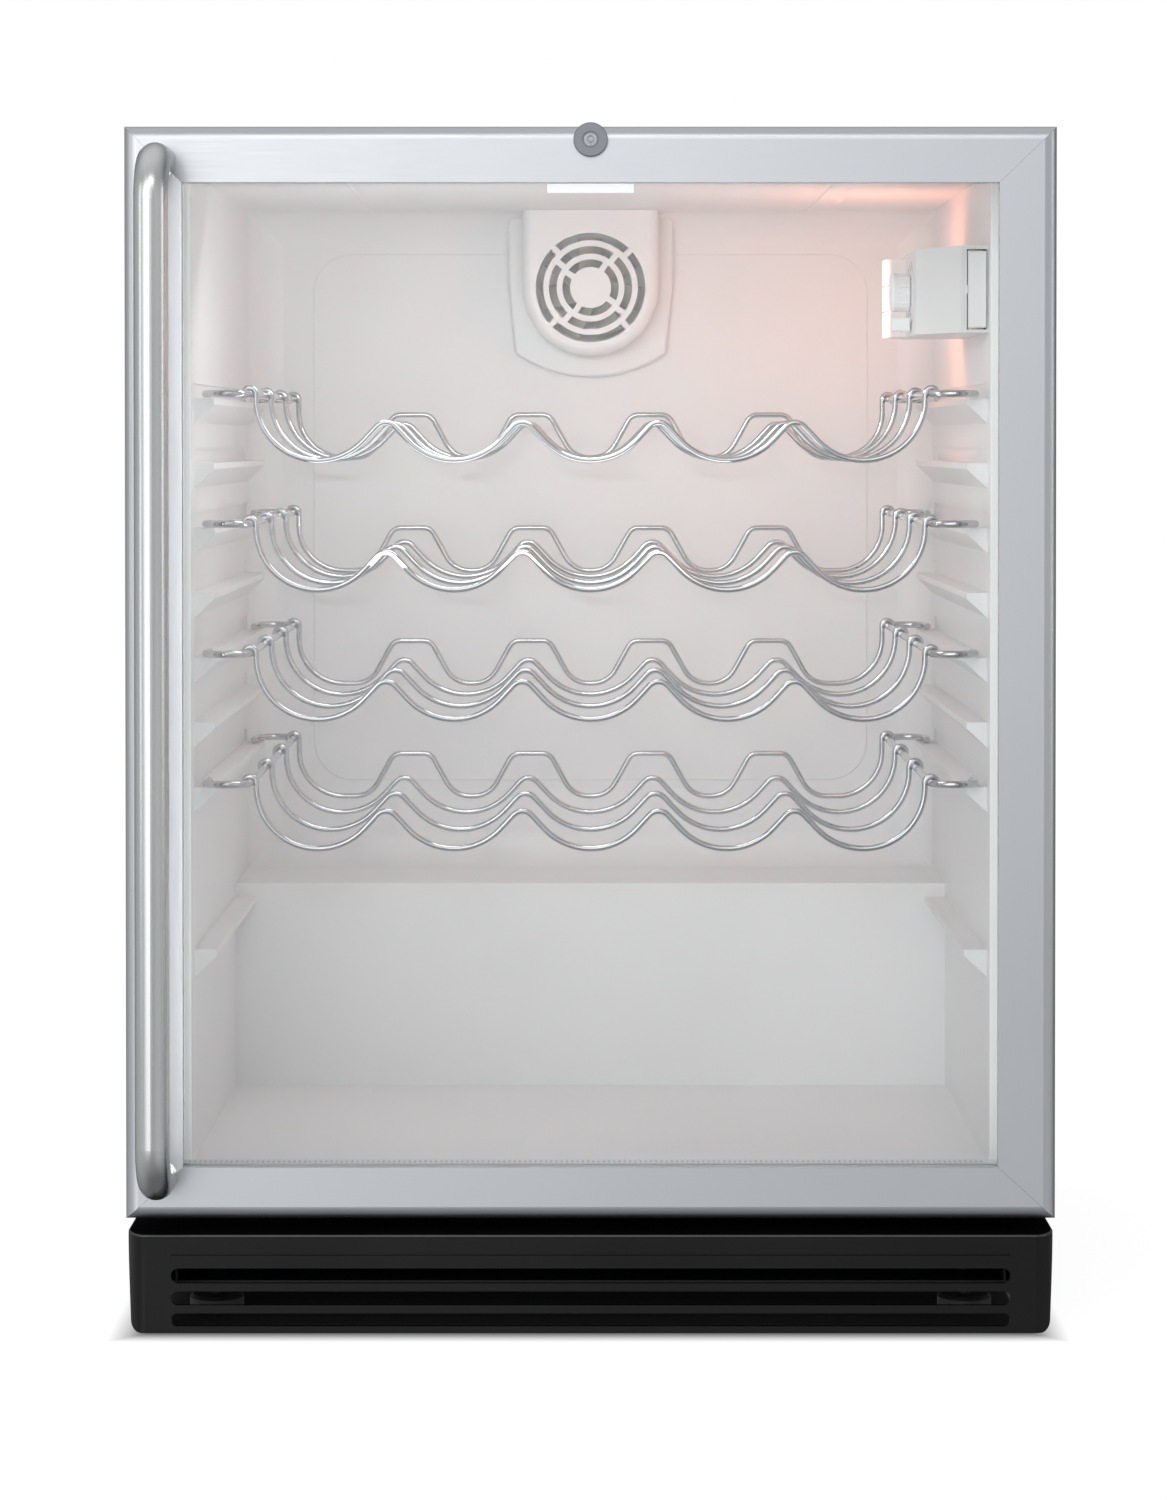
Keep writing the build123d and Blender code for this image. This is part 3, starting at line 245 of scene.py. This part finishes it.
# ---- materials by the record's slots ----
def slot_finishes():
    """One finish for every material slot, made from what the real surface is; the plinth's finish also
    paints highlight and shade, and the plate and flange finishes paint glow.
    """
    grey, steel = (0.70, 0.715, 0.74), (0.64, 0.645, 0.65)
    return {
        "cast_alloy": surface("cast_alloy_finish", ((0.58, 0.58, 0.59), (0.50, 0.50, 0.52)),
                              (0.4, 0.6), 900.0, 0.00008, metallic=1.0),
        "clear_glass": clear_glass(),
        "spacer_metal": surface("spacer_metal_finish", ((0.80, 0.81, 0.83), (0.74, 0.75, 0.77)),
                                (0.34, 0.48), 1600.0, 0.00002, metallic=0.85),
        "grey_bead": surface("grey_bead_finish", ((0.60, 0.61, 0.62), (0.55, 0.56, 0.57)),
                             (0.5, 0.65), 1400.0, 0.00003),
        "gasket_rubber": surface("gasket_rubber_finish", ((0.47, 0.47, 0.48), (0.41, 0.41, 0.42)),
                                 (0.6, 0.8), 1100.0, 0.00005),
        "handle_steel": surface("handle_steel_finish", ((0.66, 0.665, 0.66), (0.62, 0.625, 0.625)),
                                (0.22, 0.32), (2600.0, 2600.0, 14.0), 0.000006, metallic=1.0),
        "lock_metal": surface("lock_metal_finish", ((0.235, 0.245, 0.265), (0.20, 0.21, 0.23)),
                              (0.35, 0.5), 2200.0, 0.00002, metallic=0.6),
        "bright_metal": surface("bright_metal_finish", ((0.34, 0.345, 0.36), (0.24, 0.245, 0.255)),
                                (0.10, 0.22), 900.0, 0.00006, mottle=300.0, metallic=1.0),
        "plated_steel": surface("plated_steel_finish", (steel, (0.55, 0.555, 0.55)),
                                (0.28, 0.42), 700.0, 0.00002, mottle=40.0, metallic=1.0),
        "pin_steel": surface("pin_steel_finish", ((0.66, 0.66, 0.68), (0.60, 0.60, 0.62)),
                             (0.15, 0.28), (200.0, 200.0, 3000.0), 0.000008, metallic=1.0),
        "bush_nylon": surface("bush_nylon_finish", ((0.83, 0.81, 0.76), (0.78, 0.76, 0.71)),
                              (0.4, 0.55), 1200.0, 0.00002, Subsurface_Weight=0.2),
        "rack_chrome": surface("rack_chrome_finish", ((0.58, 0.585, 0.60), (0.50, 0.505, 0.52)),
                               (0.05, 0.12), 420.0, 0.00003, mottle=25.0, metallic=1.0),
        "liner_plastic": surface("liner_plastic_finish", ((0.87, 0.868, 0.872), (0.82, 0.819, 0.823)),
                                 (0.30, 0.46), 850.0, 0.00004, mottle=5.0, wave=(16.0, 0.0007)),
        "white_plastic": surface("white_plastic_finish", ((0.86, 0.862, 0.865), (0.82, 0.823, 0.828)),
                                 (0.28, 0.42), 1800.0, 0.00002, mottle=9.0),
        # Painted light: this plate glows by itself though it is no lamp, so the door switch cover looks
        # lit.
        "bright_plate": surface("painted_glow_plate_finish", ((0.90, 0.905, 0.915), (0.86, 0.865, 0.875)),
                                (0.25, 0.4), 1500.0, 0.00001, Emission_Color=(0.95, 0.98, 1.0, 1.0),
                                Emission_Strength=0.45),
        # Painted light: the front flange glows faintly by itself though it is no lamp, so it looks lit
        # in the gap behind the door.
        "flange_plastic": surface("flange_painted_glow_finish", ((0.88, 0.882, 0.885), (0.84, 0.843, 0.848)),
                                  (0.30, 0.44), 1500.0, 0.00002, mottle=9.0,
                                  Emission_Color=(0.97, 0.98, 1.0, 1.0), Emission_Strength=0.2),
        "housing_plastic": surface("housing_plastic_finish", ((0.76, 0.765, 0.765), (0.71, 0.715, 0.72)),
                                   (0.30, 0.44), 1800.0, 0.00002, mottle=9.0),
        "lamp_diffuser": lamp_diffuser(),
        "lamp_glass": glowing_bulb(),
        "dark_plastic": surface("dark_plastic_finish", ((0.05, 0.05, 0.054), (0.035, 0.035, 0.038)),
                                (0.45, 0.6), 1500.0, 0.00004),
        "impeller_plastic": surface("impeller_plastic_finish", ((0.52, 0.51, 0.46), (0.47, 0.46, 0.42)),
                                    (0.4, 0.55), 1300.0, 0.00002),
        "plinth_plastic": plinth_plastic(),
        "cabinet_paint": surface("cabinet_paint_finish", ((0.012, 0.012, 0.013), (0.008, 0.008, 0.009)),
                                 (0.42, 0.60), 900.0, 0.00006, Specular_IOR_Level=0.35),
        "foam": surface("foam_finish", ((0.80, 0.72, 0.50), (0.70, 0.61, 0.40)),
                        (0.8, 0.95), 260.0, 0.0005, mottle=18.0),
        "galvanised": surface("galvanised_finish", ((0.62, 0.63, 0.64), (0.44, 0.45, 0.47)),
                              (0.32, 0.55), 380.0, 0.00002, mottle=60.0, metallic=1.0),
        "foot_plastic": surface("foot_plastic_finish", ((0.014, 0.014, 0.015), (0.009, 0.009, 0.010)),
                                (0.5, 0.7), 1200.0, 0.00006),
        "evaporator": surface("evaporator_finish", ((0.72, 0.73, 0.74), (0.62, 0.63, 0.65)),
                              (0.3, 0.45), 500.0, 0.00003, metallic=1.0),
        "compressor_paint": surface("compressor_paint_finish",
                                    ((0.016, 0.016, 0.017), (0.010, 0.010, 0.011)),
                                    (0.16, 0.28), 260.0, 0.00010),
        "grommet_rubber": surface("grommet_rubber_finish",
                                  ((0.030, 0.030, 0.030), (0.020, 0.020, 0.020)),
                                  (0.7, 0.85), 900.0, 0.00008),
        "copper": surface("copper_finish", ((0.72, 0.38, 0.24), (0.48, 0.24, 0.15)),
                          (0.22, 0.42), 300.0, 0.00002, mottle=45.0, metallic=1.0),
    }


def frame_aluminium(name, grain):
    """Satin anodised extrusion with its fine drawing lines along the bar."""
    return surface(name, ((0.58, 0.593, 0.614), (0.555, 0.568, 0.59)), (0.34, 0.44), grain,
                   0.000022, mottle=3.0, metallic=1.0, wave=(900.0, 0.000012))


def give(node, finish):
    """Puts one finish in every material slot of a CAD node."""
    for slot in NODES[node].material_slots:
        slot.material = finish


def paint_nodes():
    """Gives every CAD node the finish of its slot, then the few nodes that look different."""
    finishes = slot_finishes()
    for part in frame["record"]["subparts"]:
        if part["material_slot"] in finishes:
            give(part["node"], finishes[part["material_slot"]])
    for names, grain in ((RAILS, (22.0, 1900.0, 1900.0)), (STILES, (1900.0, 1900.0, 22.0))):
        finish = frame_aluminium(f"{names[0]}_finish", grain)
        for name in names:
            give(name, finish)
    # The door switch cover and the front flange get finishes with painted glow.
    for node, finish in (("base_pan", "cabinet_paint"), ("door_switch_cover", "bright_plate"),
                         ("control_housing", "housing_plastic"), ("dial_plate", "housing_plastic"),
                         ("fan_motor", "impeller_plastic"), ("front_flange", "flange_plastic")):
        give(node, finishes[finish])
    return finishes


def soften(node, width):
    """Rounds the sharp edges of a moulded or folded part."""
    bevel = NODES[node].modifiers.new("edge_round", "BEVEL")
    bevel.width = width
    bevel.segments = EDGE_SEGMENTS
    bevel.limit_method = "ANGLE"
    bevel.angle_limit = EDGE_ANGLE
    bevel.harden_normals = True


# ---- small pieces ----
def mesh_piece(name, vertices, faces, material, slot, body, bevel=0.0):
    """A mesh object in the row frame that rides on a body."""
    mesh = bpy.data.meshes.new(name)
    mesh.from_pydata(vertices, [], faces)
    mesh.update()
    piece = bpy.data.objects.new(name, mesh)
    bpy.context.scene.collection.objects.link(piece)
    mesh.materials.append(material)
    if bevel:
        edge_round = piece.modifiers.new("edge_round", "BEVEL")
        edge_round.width = bevel
        edge_round.segments = EDGE_SEGMENTS
        for polygon in mesh.polygons:
            polygon.use_smooth = True
        edge_round.harden_normals = True
    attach(piece, body)
    return piece


def block_mesh(low, high):
    """Vertices and faces of a box between two corners."""
    vertices = [(x, y, z) for x in (low[0], high[0]) for y in (low[1], high[1])
                for z in (low[2], high[2])]
    faces = [(0, 1, 3, 2), (4, 6, 7, 5), (0, 4, 5, 1), (2, 3, 7, 6), (0, 2, 6, 4), (1, 5, 7, 3)]
    return vertices, faces


def joined(parts):
    """Several (vertices, faces) pairs as one pair."""
    vertices, faces = [], []
    for part_vertices, part_faces in parts:
        start = len(vertices)
        vertices += part_vertices
        faces += [tuple(index + start for index in face) for face in part_faces]
    return vertices, faces


def stud_mesh(centre, normal, radius, height, sides=10):
    """A short round stud that stands on centre along normal."""
    normal = Vector(normal)
    across = normal.orthogonal().normalized()
    along = normal.cross(across)
    vertices = []
    for rise in (0.0, height):
        for index in range(sides):
            turn = 2 * math.pi * index / sides
            spoke = across * math.cos(turn) + along * math.sin(turn)
            vertices.append(tuple(Vector(centre) + normal * rise + spoke * radius))
    faces = [tuple(range(sides, 2 * sides)), tuple(reversed(range(sides)))]
    for index in range(sides):
        after = (index + 1) % sides
        faces.append((index, after, sides + after, sides + index))
    return vertices, faces


def spacer_perforations(finishes):
    """Two rows of breather holes along the inner face of the bottom and side spacer bars, drawn as low
    dark studs: painted shade for the holes.
    """
    low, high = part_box("glass_spacer")
    bottom_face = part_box("glass_front")[0].z + SPACER_BAR_TOP
    sides = ((low.x + SPACER_SIDE_WALL, 1), (high.x - SPACER_SIDE_WALL, -1))
    middle = (low.y + high.y) / 2
    size = PERFORATION_RADIUS, PERFORATION_HEIGHT
    studs = []
    for offset in PERFORATION_ROWS:
        y = middle + offset
        for index in range(int((high.x - low.x - 2 * SPACER_END) / PERFORATION_PITCH)):
            x = low.x + SPACER_END + index * PERFORATION_PITCH
            studs.append(stud_mesh((x, y, bottom_face), (0, 0, 1), *size))
        for index in range(int((high.z - low.z - 2 * SPACER_END) / PERFORATION_PITCH)):
            z = low.z + SPACER_END + index * PERFORATION_PITCH
            studs += [stud_mesh((x, y, z), (side, 0, 0), *size) for x, side in sides]
    mesh_piece("spacer_perforations", *joined(studs), finishes["dark_plastic"], "dark_plastic", "door")


def dial_marks(finishes):
    """Tick marks round the knob, with a longer first and last one."""
    low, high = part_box("dial_plate")
    centre = (low + high) / 2
    ticks = []
    for index in range(TICK_COUNT):
        turn = math.radians(-DIAL_TURN + 2 * DIAL_TURN * index / (TICK_COUNT - 1))
        spoke = Vector((0, math.sin(turn), math.cos(turn)))
        side = Vector((0, math.cos(turn), -math.sin(turn)))
        reach = TICK_REACH_END if index in (0, TICK_COUNT - 1) else TICK_REACH
        corners = []
        for x in (low.x - 0.00012, low.x + 0.00005):
            for along, across in ((-reach, -1), (reach, -1), (reach, 1), (-reach, 1)):
                point = centre + spoke * (TICK_CIRCLE + along) + side * across * TICK_HALF_WIDTH
                corners.append((x, point.y, point.z))
        faces = [(3, 2, 1, 0), (4, 5, 6, 7), (0, 1, 5, 4), (1, 2, 6, 5), (2, 3, 7, 6), (3, 0, 4, 7)]
        ticks.append((corners, faces))
    mesh_piece("dial_marks", *joined(ticks), finishes["dark_plastic"], "dark_plastic", "cabinet")


def dial_stop(finishes):
    """Small block with two pins under the knob."""
    low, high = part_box("dial_plate")
    centre = (low + high) / 2
    reach, half_width, top, bottom = 0.0125, 0.007, 0.0175, 0.0265
    block = block_mesh((low.x - reach, centre.y - half_width, centre.z - bottom),
                       (low.x, centre.y + half_width, centre.z - top))
    mesh_piece("dial_stop", *block, finishes["white_plastic"], "white_plastic", "cabinet", 0.0009)
    pin_x, pin_offset, pin_top, pin_radius, pin_length = 0.0045, 0.0025, 0.0266, 0.0009, 0.003
    pins = [stud_mesh((low.x - pin_x, centre.y + offset, centre.z - pin_top), (0, 0, -1),
                      pin_radius, pin_length) for offset in (-pin_offset, pin_offset)]
    mesh_piece("dial_stop_pins", *joined(pins), finishes["white_plastic"], "white_plastic", "cabinet")


def rocker_bridge(finishes):
    """Short bridge of the bezel across the gap beside the rocker."""
    low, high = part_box("light_rocker")
    box_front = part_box("control_housing")[0].y
    middle = (low.z + high.z) / 2
    gap_left = high.x - 0.0134
    half_height = 0.0028
    bridge = block_mesh((gap_left - 0.0004, box_front + 0.0001, middle - half_height),
                        (gap_left + 0.0008, box_front + 0.0018, middle + half_height))
    mesh_piece("rocker_bridge", *bridge, finishes["white_plastic"], "white_plastic", "cabinet", 0.0002)


def rocker_gap_shade(finishes):
    """Thin dark sheets in the gap round the rocker, clear of its tilt and axle: painted shade in that
    gap.
    """
    low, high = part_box("light_rocker")
    front, back = high.y - 0.0033, high.y - 0.0026
    middle = (low.z + high.z) / 2
    axle_gap, past_end, outer_end = 0.0025, 0.0010, 0.0025
    parts = []
    for z0, z1 in ((low.z - past_end, middle - axle_gap), (middle + axle_gap, high.z + past_end)):
        for x0, x1 in ((low.x - 0.0004, low.x + 0.0022), (high.x - 0.0020, high.x + 0.0002)):
            parts.append(block_mesh((x0, front, z0), (x1, back, z1)))
    for z0, z1 in ((low.z - outer_end, low.z - past_end), (high.z + past_end, high.z + outer_end)):
        parts.append(block_mesh((low.x, front, z0), (high.x, back, z1)))
    # Painted shade: these dark sheets stand where the gap round the rocker is in shade.
    mesh_piece("rocker_gap_shade", *joined(parts), finishes["dark_plastic"], "dark_plastic", "cabinet")


def back_relief(finishes):
    """Low pressed field with round corners on the back wall."""
    step_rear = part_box("inner_liner")[1].y
    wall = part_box("fan_base_plate")[1].y
    half, bottom, top, radius, rise = 0.214, 0.315, 0.722, 0.030, 0.0009
    outline = []
    corner_steps = 8
    for x, z, start in ((half - radius, top - radius, 0), (radius - half, top - radius, 90),
                        (radius - half, bottom + radius, 180), (half - radius, bottom + radius, 270)):
        for step in range(corner_steps + 1):
            turn = math.radians(start + 90 * step / corner_steps)
            outline.append((x + radius * math.cos(turn), z + radius * math.sin(turn)))
    count = len(outline)
    rear = min(wall + 0.0005, step_rear)
    vertices = [(x, wall - rise, z) for x, z in outline] + [(x, rear, z) for x, z in outline]
    faces = [tuple(range(count)), tuple(reversed(range(count, 2 * count)))]
    for index in range(count):
        after = (index + 1) % count
        faces.append((after, index, count + index, count + after))
    mesh_piece("back_relief", vertices, faces, finishes["liner_plastic"], "liner_plastic", "cabinet",
               RELIEF_EDGE)


def ceiling_ribs(finishes):
    """Two low pressed ribs that run from front to back along the ceiling."""
    low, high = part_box("inner_liner")
    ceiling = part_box("fan_cover")[1].z + 0.0002
    offset, half, drop, front_gap, rear_gap = 0.175, 0.0095, 0.0011, 0.004, 0.034
    parts = [block_mesh((side * offset - half, low.y + front_gap, ceiling - drop),
                        (side * offset + half, high.y - rear_gap, ceiling + 0.0008))
             for side in (-1, 1)]
    mesh_piece("ceiling_ribs", *joined(parts), finishes["liner_plastic"], "liner_plastic", "cabinet",
               RELIEF_EDGE)


# ---- room, light and camera ----
def build_room():
    """White sweep that glows by itself, with a painted shadow under the cabinet that fades softly at its
    edge.
    """
    bpy.ops.mesh.primitive_plane_add(size=2 * FLOOR_HALF, location=(0, 0, 0))
    floor = bpy.context.active_object
    floor.name = "floor"
    finish = surface("floor_finish", ((0.26, 0.26, 0.26), (0.24, 0.24, 0.24)),
                     (0.6, 0.7), 300.0, 0.00002)
    tree = finish.node_tree
    shader = tree.nodes["Principled BSDF"]
    shader.inputs["Emission Color"].default_value = (1.0, 1.0, 1.0, 1.0)
    shader.inputs["Specular IOR Level"].default_value = 0.1
    low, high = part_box("kick_grille")[0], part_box("outer_wrapper")[1]
    middle, half = (low + high) / 2, (high - low) / 2
    place = add(tree, "ShaderNodeTexCoord")
    apart = add(tree, "ShaderNodeVectorMath", operation="SUBTRACT")
    apart.inputs[1].default_value = (middle.x, middle.y, 0.0)
    tree.links.new(place.outputs["Object"], apart.inputs[0])
    size = add(tree, "ShaderNodeVectorMath", operation="ABSOLUTE")
    tree.links.new(apart.outputs["Vector"], size.inputs[0])
    beyond = add(tree, "ShaderNodeVectorMath", operation="SUBTRACT")
    beyond.inputs[1].default_value = (half.x, half.y, 0.0)
    tree.links.new(size.outputs["Vector"], beyond.inputs[0])
    outside = add(tree, "ShaderNodeVectorMath", operation="MAXIMUM")
    outside.inputs[1].default_value = (-0.02, -0.02, 0.0)
    tree.links.new(beyond.outputs["Vector"], outside.inputs[0])
    axes = add(tree, "ShaderNodeSeparateXYZ")
    tree.links.new(outside.outputs["Vector"], axes.inputs["Vector"])
    reach = add(tree, "ShaderNodeMath", operation="MAXIMUM")
    tree.links.new(axes.outputs["X"], reach.inputs[0])
    tree.links.new(axes.outputs["Y"], reach.inputs[1])
    # Painted shadow: under the cabinet the glow goes out and the colour darkens, fading over a short
    # band round its footprint.
    glow = mapped(tree, reach.outputs["Value"], 0.0, 0.88, -0.016, 0.012)
    tree.links.new(glow, shader.inputs["Emission Strength"])
    outside_painted_shadow = mapped(tree, reach.outputs["Value"], 0.0, 1.0, -0.016, 0.008)
    colour = mixed(tree, outside_painted_shadow, (0.04, 0.04, 0.04), (0.25, 0.25, 0.25))
    tree.links.new(colour, shader.inputs["Base Color"])
    floor.data.materials.append(finish)
    floor.visible_glossy = False


def world_gradient():
    """White backdrop; for light and gloss, a dim room with glows in front, at the sides and above."""
    world = bpy.data.worlds.new("studio")
    bpy.context.scene.world = world
    world.use_nodes = True
    tree = world.node_tree
    room = tree.nodes["Background"]
    room.inputs["Color"].default_value = (0.97, 0.985, 1.0, 1.0)
    place = add(tree, "ShaderNodeTexCoord")
    total = None
    reaches = (((0.0, -1.0, 0.0), 0.18, 0.42, 0.35, 1.0),
               ((-0.34, -0.92, 0.22), 0.0, 2.1, 0.84, 1.0),
               ((-1.0, -0.15, 0.05), 0.0, 0.38, 0.25, 0.95),
               ((0.88, -0.48, 0.05), 0.0, 0.42, 0.60, 1.0),
               ((0.0, 0.15, 0.99), 0.0, 0.60, 0.50, 0.95))
    for direction, dim, bright, start, end in reaches:
        toward = add(tree, "ShaderNodeVectorMath", operation="DOT_PRODUCT")
        toward.inputs[1].default_value = Vector(direction).normalized()
        tree.links.new(place.outputs["Generated"], toward.inputs[0])
        glow = mapped(tree, toward.outputs["Value"], dim, bright, start, end)
        if total is not None:
            both = add(tree, "ShaderNodeMath", operation="ADD")
            tree.links.new(total, both.inputs[0])
            tree.links.new(glow, both.inputs[1])
            glow = both.outputs["Value"]
        total = glow
    tree.links.new(total, room.inputs["Strength"])

    backdrop = add(tree, "ShaderNodeBackground", Strength=1.0)
    backdrop.inputs["Color"].default_value = (1.0, 1.0, 1.0, 1.0)
    ray = add(tree, "ShaderNodeLightPath")
    mix = add(tree, "ShaderNodeMixShader")
    tree.links.new(ray.outputs["Is Camera Ray"], mix.inputs["Fac"])
    tree.links.new(room.outputs["Background"], mix.inputs[1])
    tree.links.new(backdrop.outputs["Background"], mix.inputs[2])
    tree.links.new(mix.outputs["Shader"], tree.nodes["World Output"].inputs["Surface"])


def soft_box(name, place, target, size, power, colour=(1.0, 1.0, 1.0)):
    """A rectangular studio light that the camera itself doesn't see."""
    light = bpy.data.lights.new(name, "AREA")
    light.shape = "RECTANGLE"
    light.size, light.size_y = size
    light.energy = power
    light.color = colour
    lamp = bpy.data.objects.new(name, light)
    lamp.location = place
    lamp.rotation_euler = (Vector(target) - Vector(place)).to_track_quat("-Z", "Y").to_euler()
    lamp.visible_camera = False
    bpy.context.scene.collection.objects.link(lamp)
    return lamp


def build_lights():
    """World, studio soft boxes, fills inside the cabinet, a strip for the left stile and the lamp."""
    world_gradient()
    target = (0.0, 0.0, 0.45)
    soft_box("left_box", (-2.7, -1.2, 0.9), target, (0.5, 1.8), 4.0)
    soft_box("left_strip", (-0.80, -3.0, 0.7), target, (0.07, 1.8), 1.7)
    soft_box("right_box", (2.8, -0.4, 0.9), target, (0.4, 1.6), 4.0)
    soft_box("top_box", (0.0, -2.4, 2.4), target, (1.6, 0.8), 8.0)
    soft_box("cabinet_fill", (-0.07, -0.19, 0.70), (0.0, 0.14, 0.28), (0.24, 0.03), 0.36)
    soft_box("ceiling_fill", (-0.05, -0.19, 0.50), (-0.03, -0.02, 0.76), (0.30, 0.03), 0.12)

    # The handle shades the stile beside it, so this strip lights that stile and nothing else.
    beside = soft_box("stile_strip", (-0.235, -0.35, 0.43), (-0.262, -0.25, 0.43), (0.02, 0.66), 0.42)
    receivers = bpy.data.collections.new("stile_strip_receivers")
    receivers.objects.link(NODES["door_stile_left"])
    beside.light_linking.receiver_collection = receivers

    low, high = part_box("lamp_lens")
    bulb = bpy.data.lights.new("cabinet_lamp", "POINT")
    bulb.energy = LAMP_POWER
    bulb.color = LAMP_COLOUR
    bulb.shadow_soft_size = 0.018
    lamp = bpy.data.objects.new("cabinet_lamp", bulb)
    lamp.location = (low.x - 0.004, high.y + 0.030, (low.z + high.z) / 2)
    lamp.visible_glossy = False
    bpy.context.scene.collection.objects.link(lamp)


def build_camera():
    """The photograph's view: straight on, a little above the middle, with a shifted lens."""
    door_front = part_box("door_stile_left")[0].y
    camera = bpy.data.cameras.new("camera")
    camera.lens = LENS
    camera.sensor_width = 36.0
    camera.shift_x = SHIFT_X
    camera.shift_y = SHIFT_Y
    seen = bpy.data.objects.new("camera", camera)
    seen.location = (0.0, door_front - EYE_DISTANCE, EYE_HEIGHT)
    seen.rotation_euler = (math.pi / 2 - EYE_TILT, 0.0, 0.0)
    bpy.context.scene.collection.objects.link(seen)
    bpy.context.scene.camera = seen


finishes = paint_nodes()
for node, width in ROUNDED:
    soften(node, width)
for detail in (spacer_perforations, dial_marks, dial_stop, rocker_bridge, rocker_gap_shade, back_relief,
               ceiling_ribs):
    detail(finishes)
build_room()
build_lights()
build_camera()
bpy.context.scene.view_settings.view_transform = "Standard"
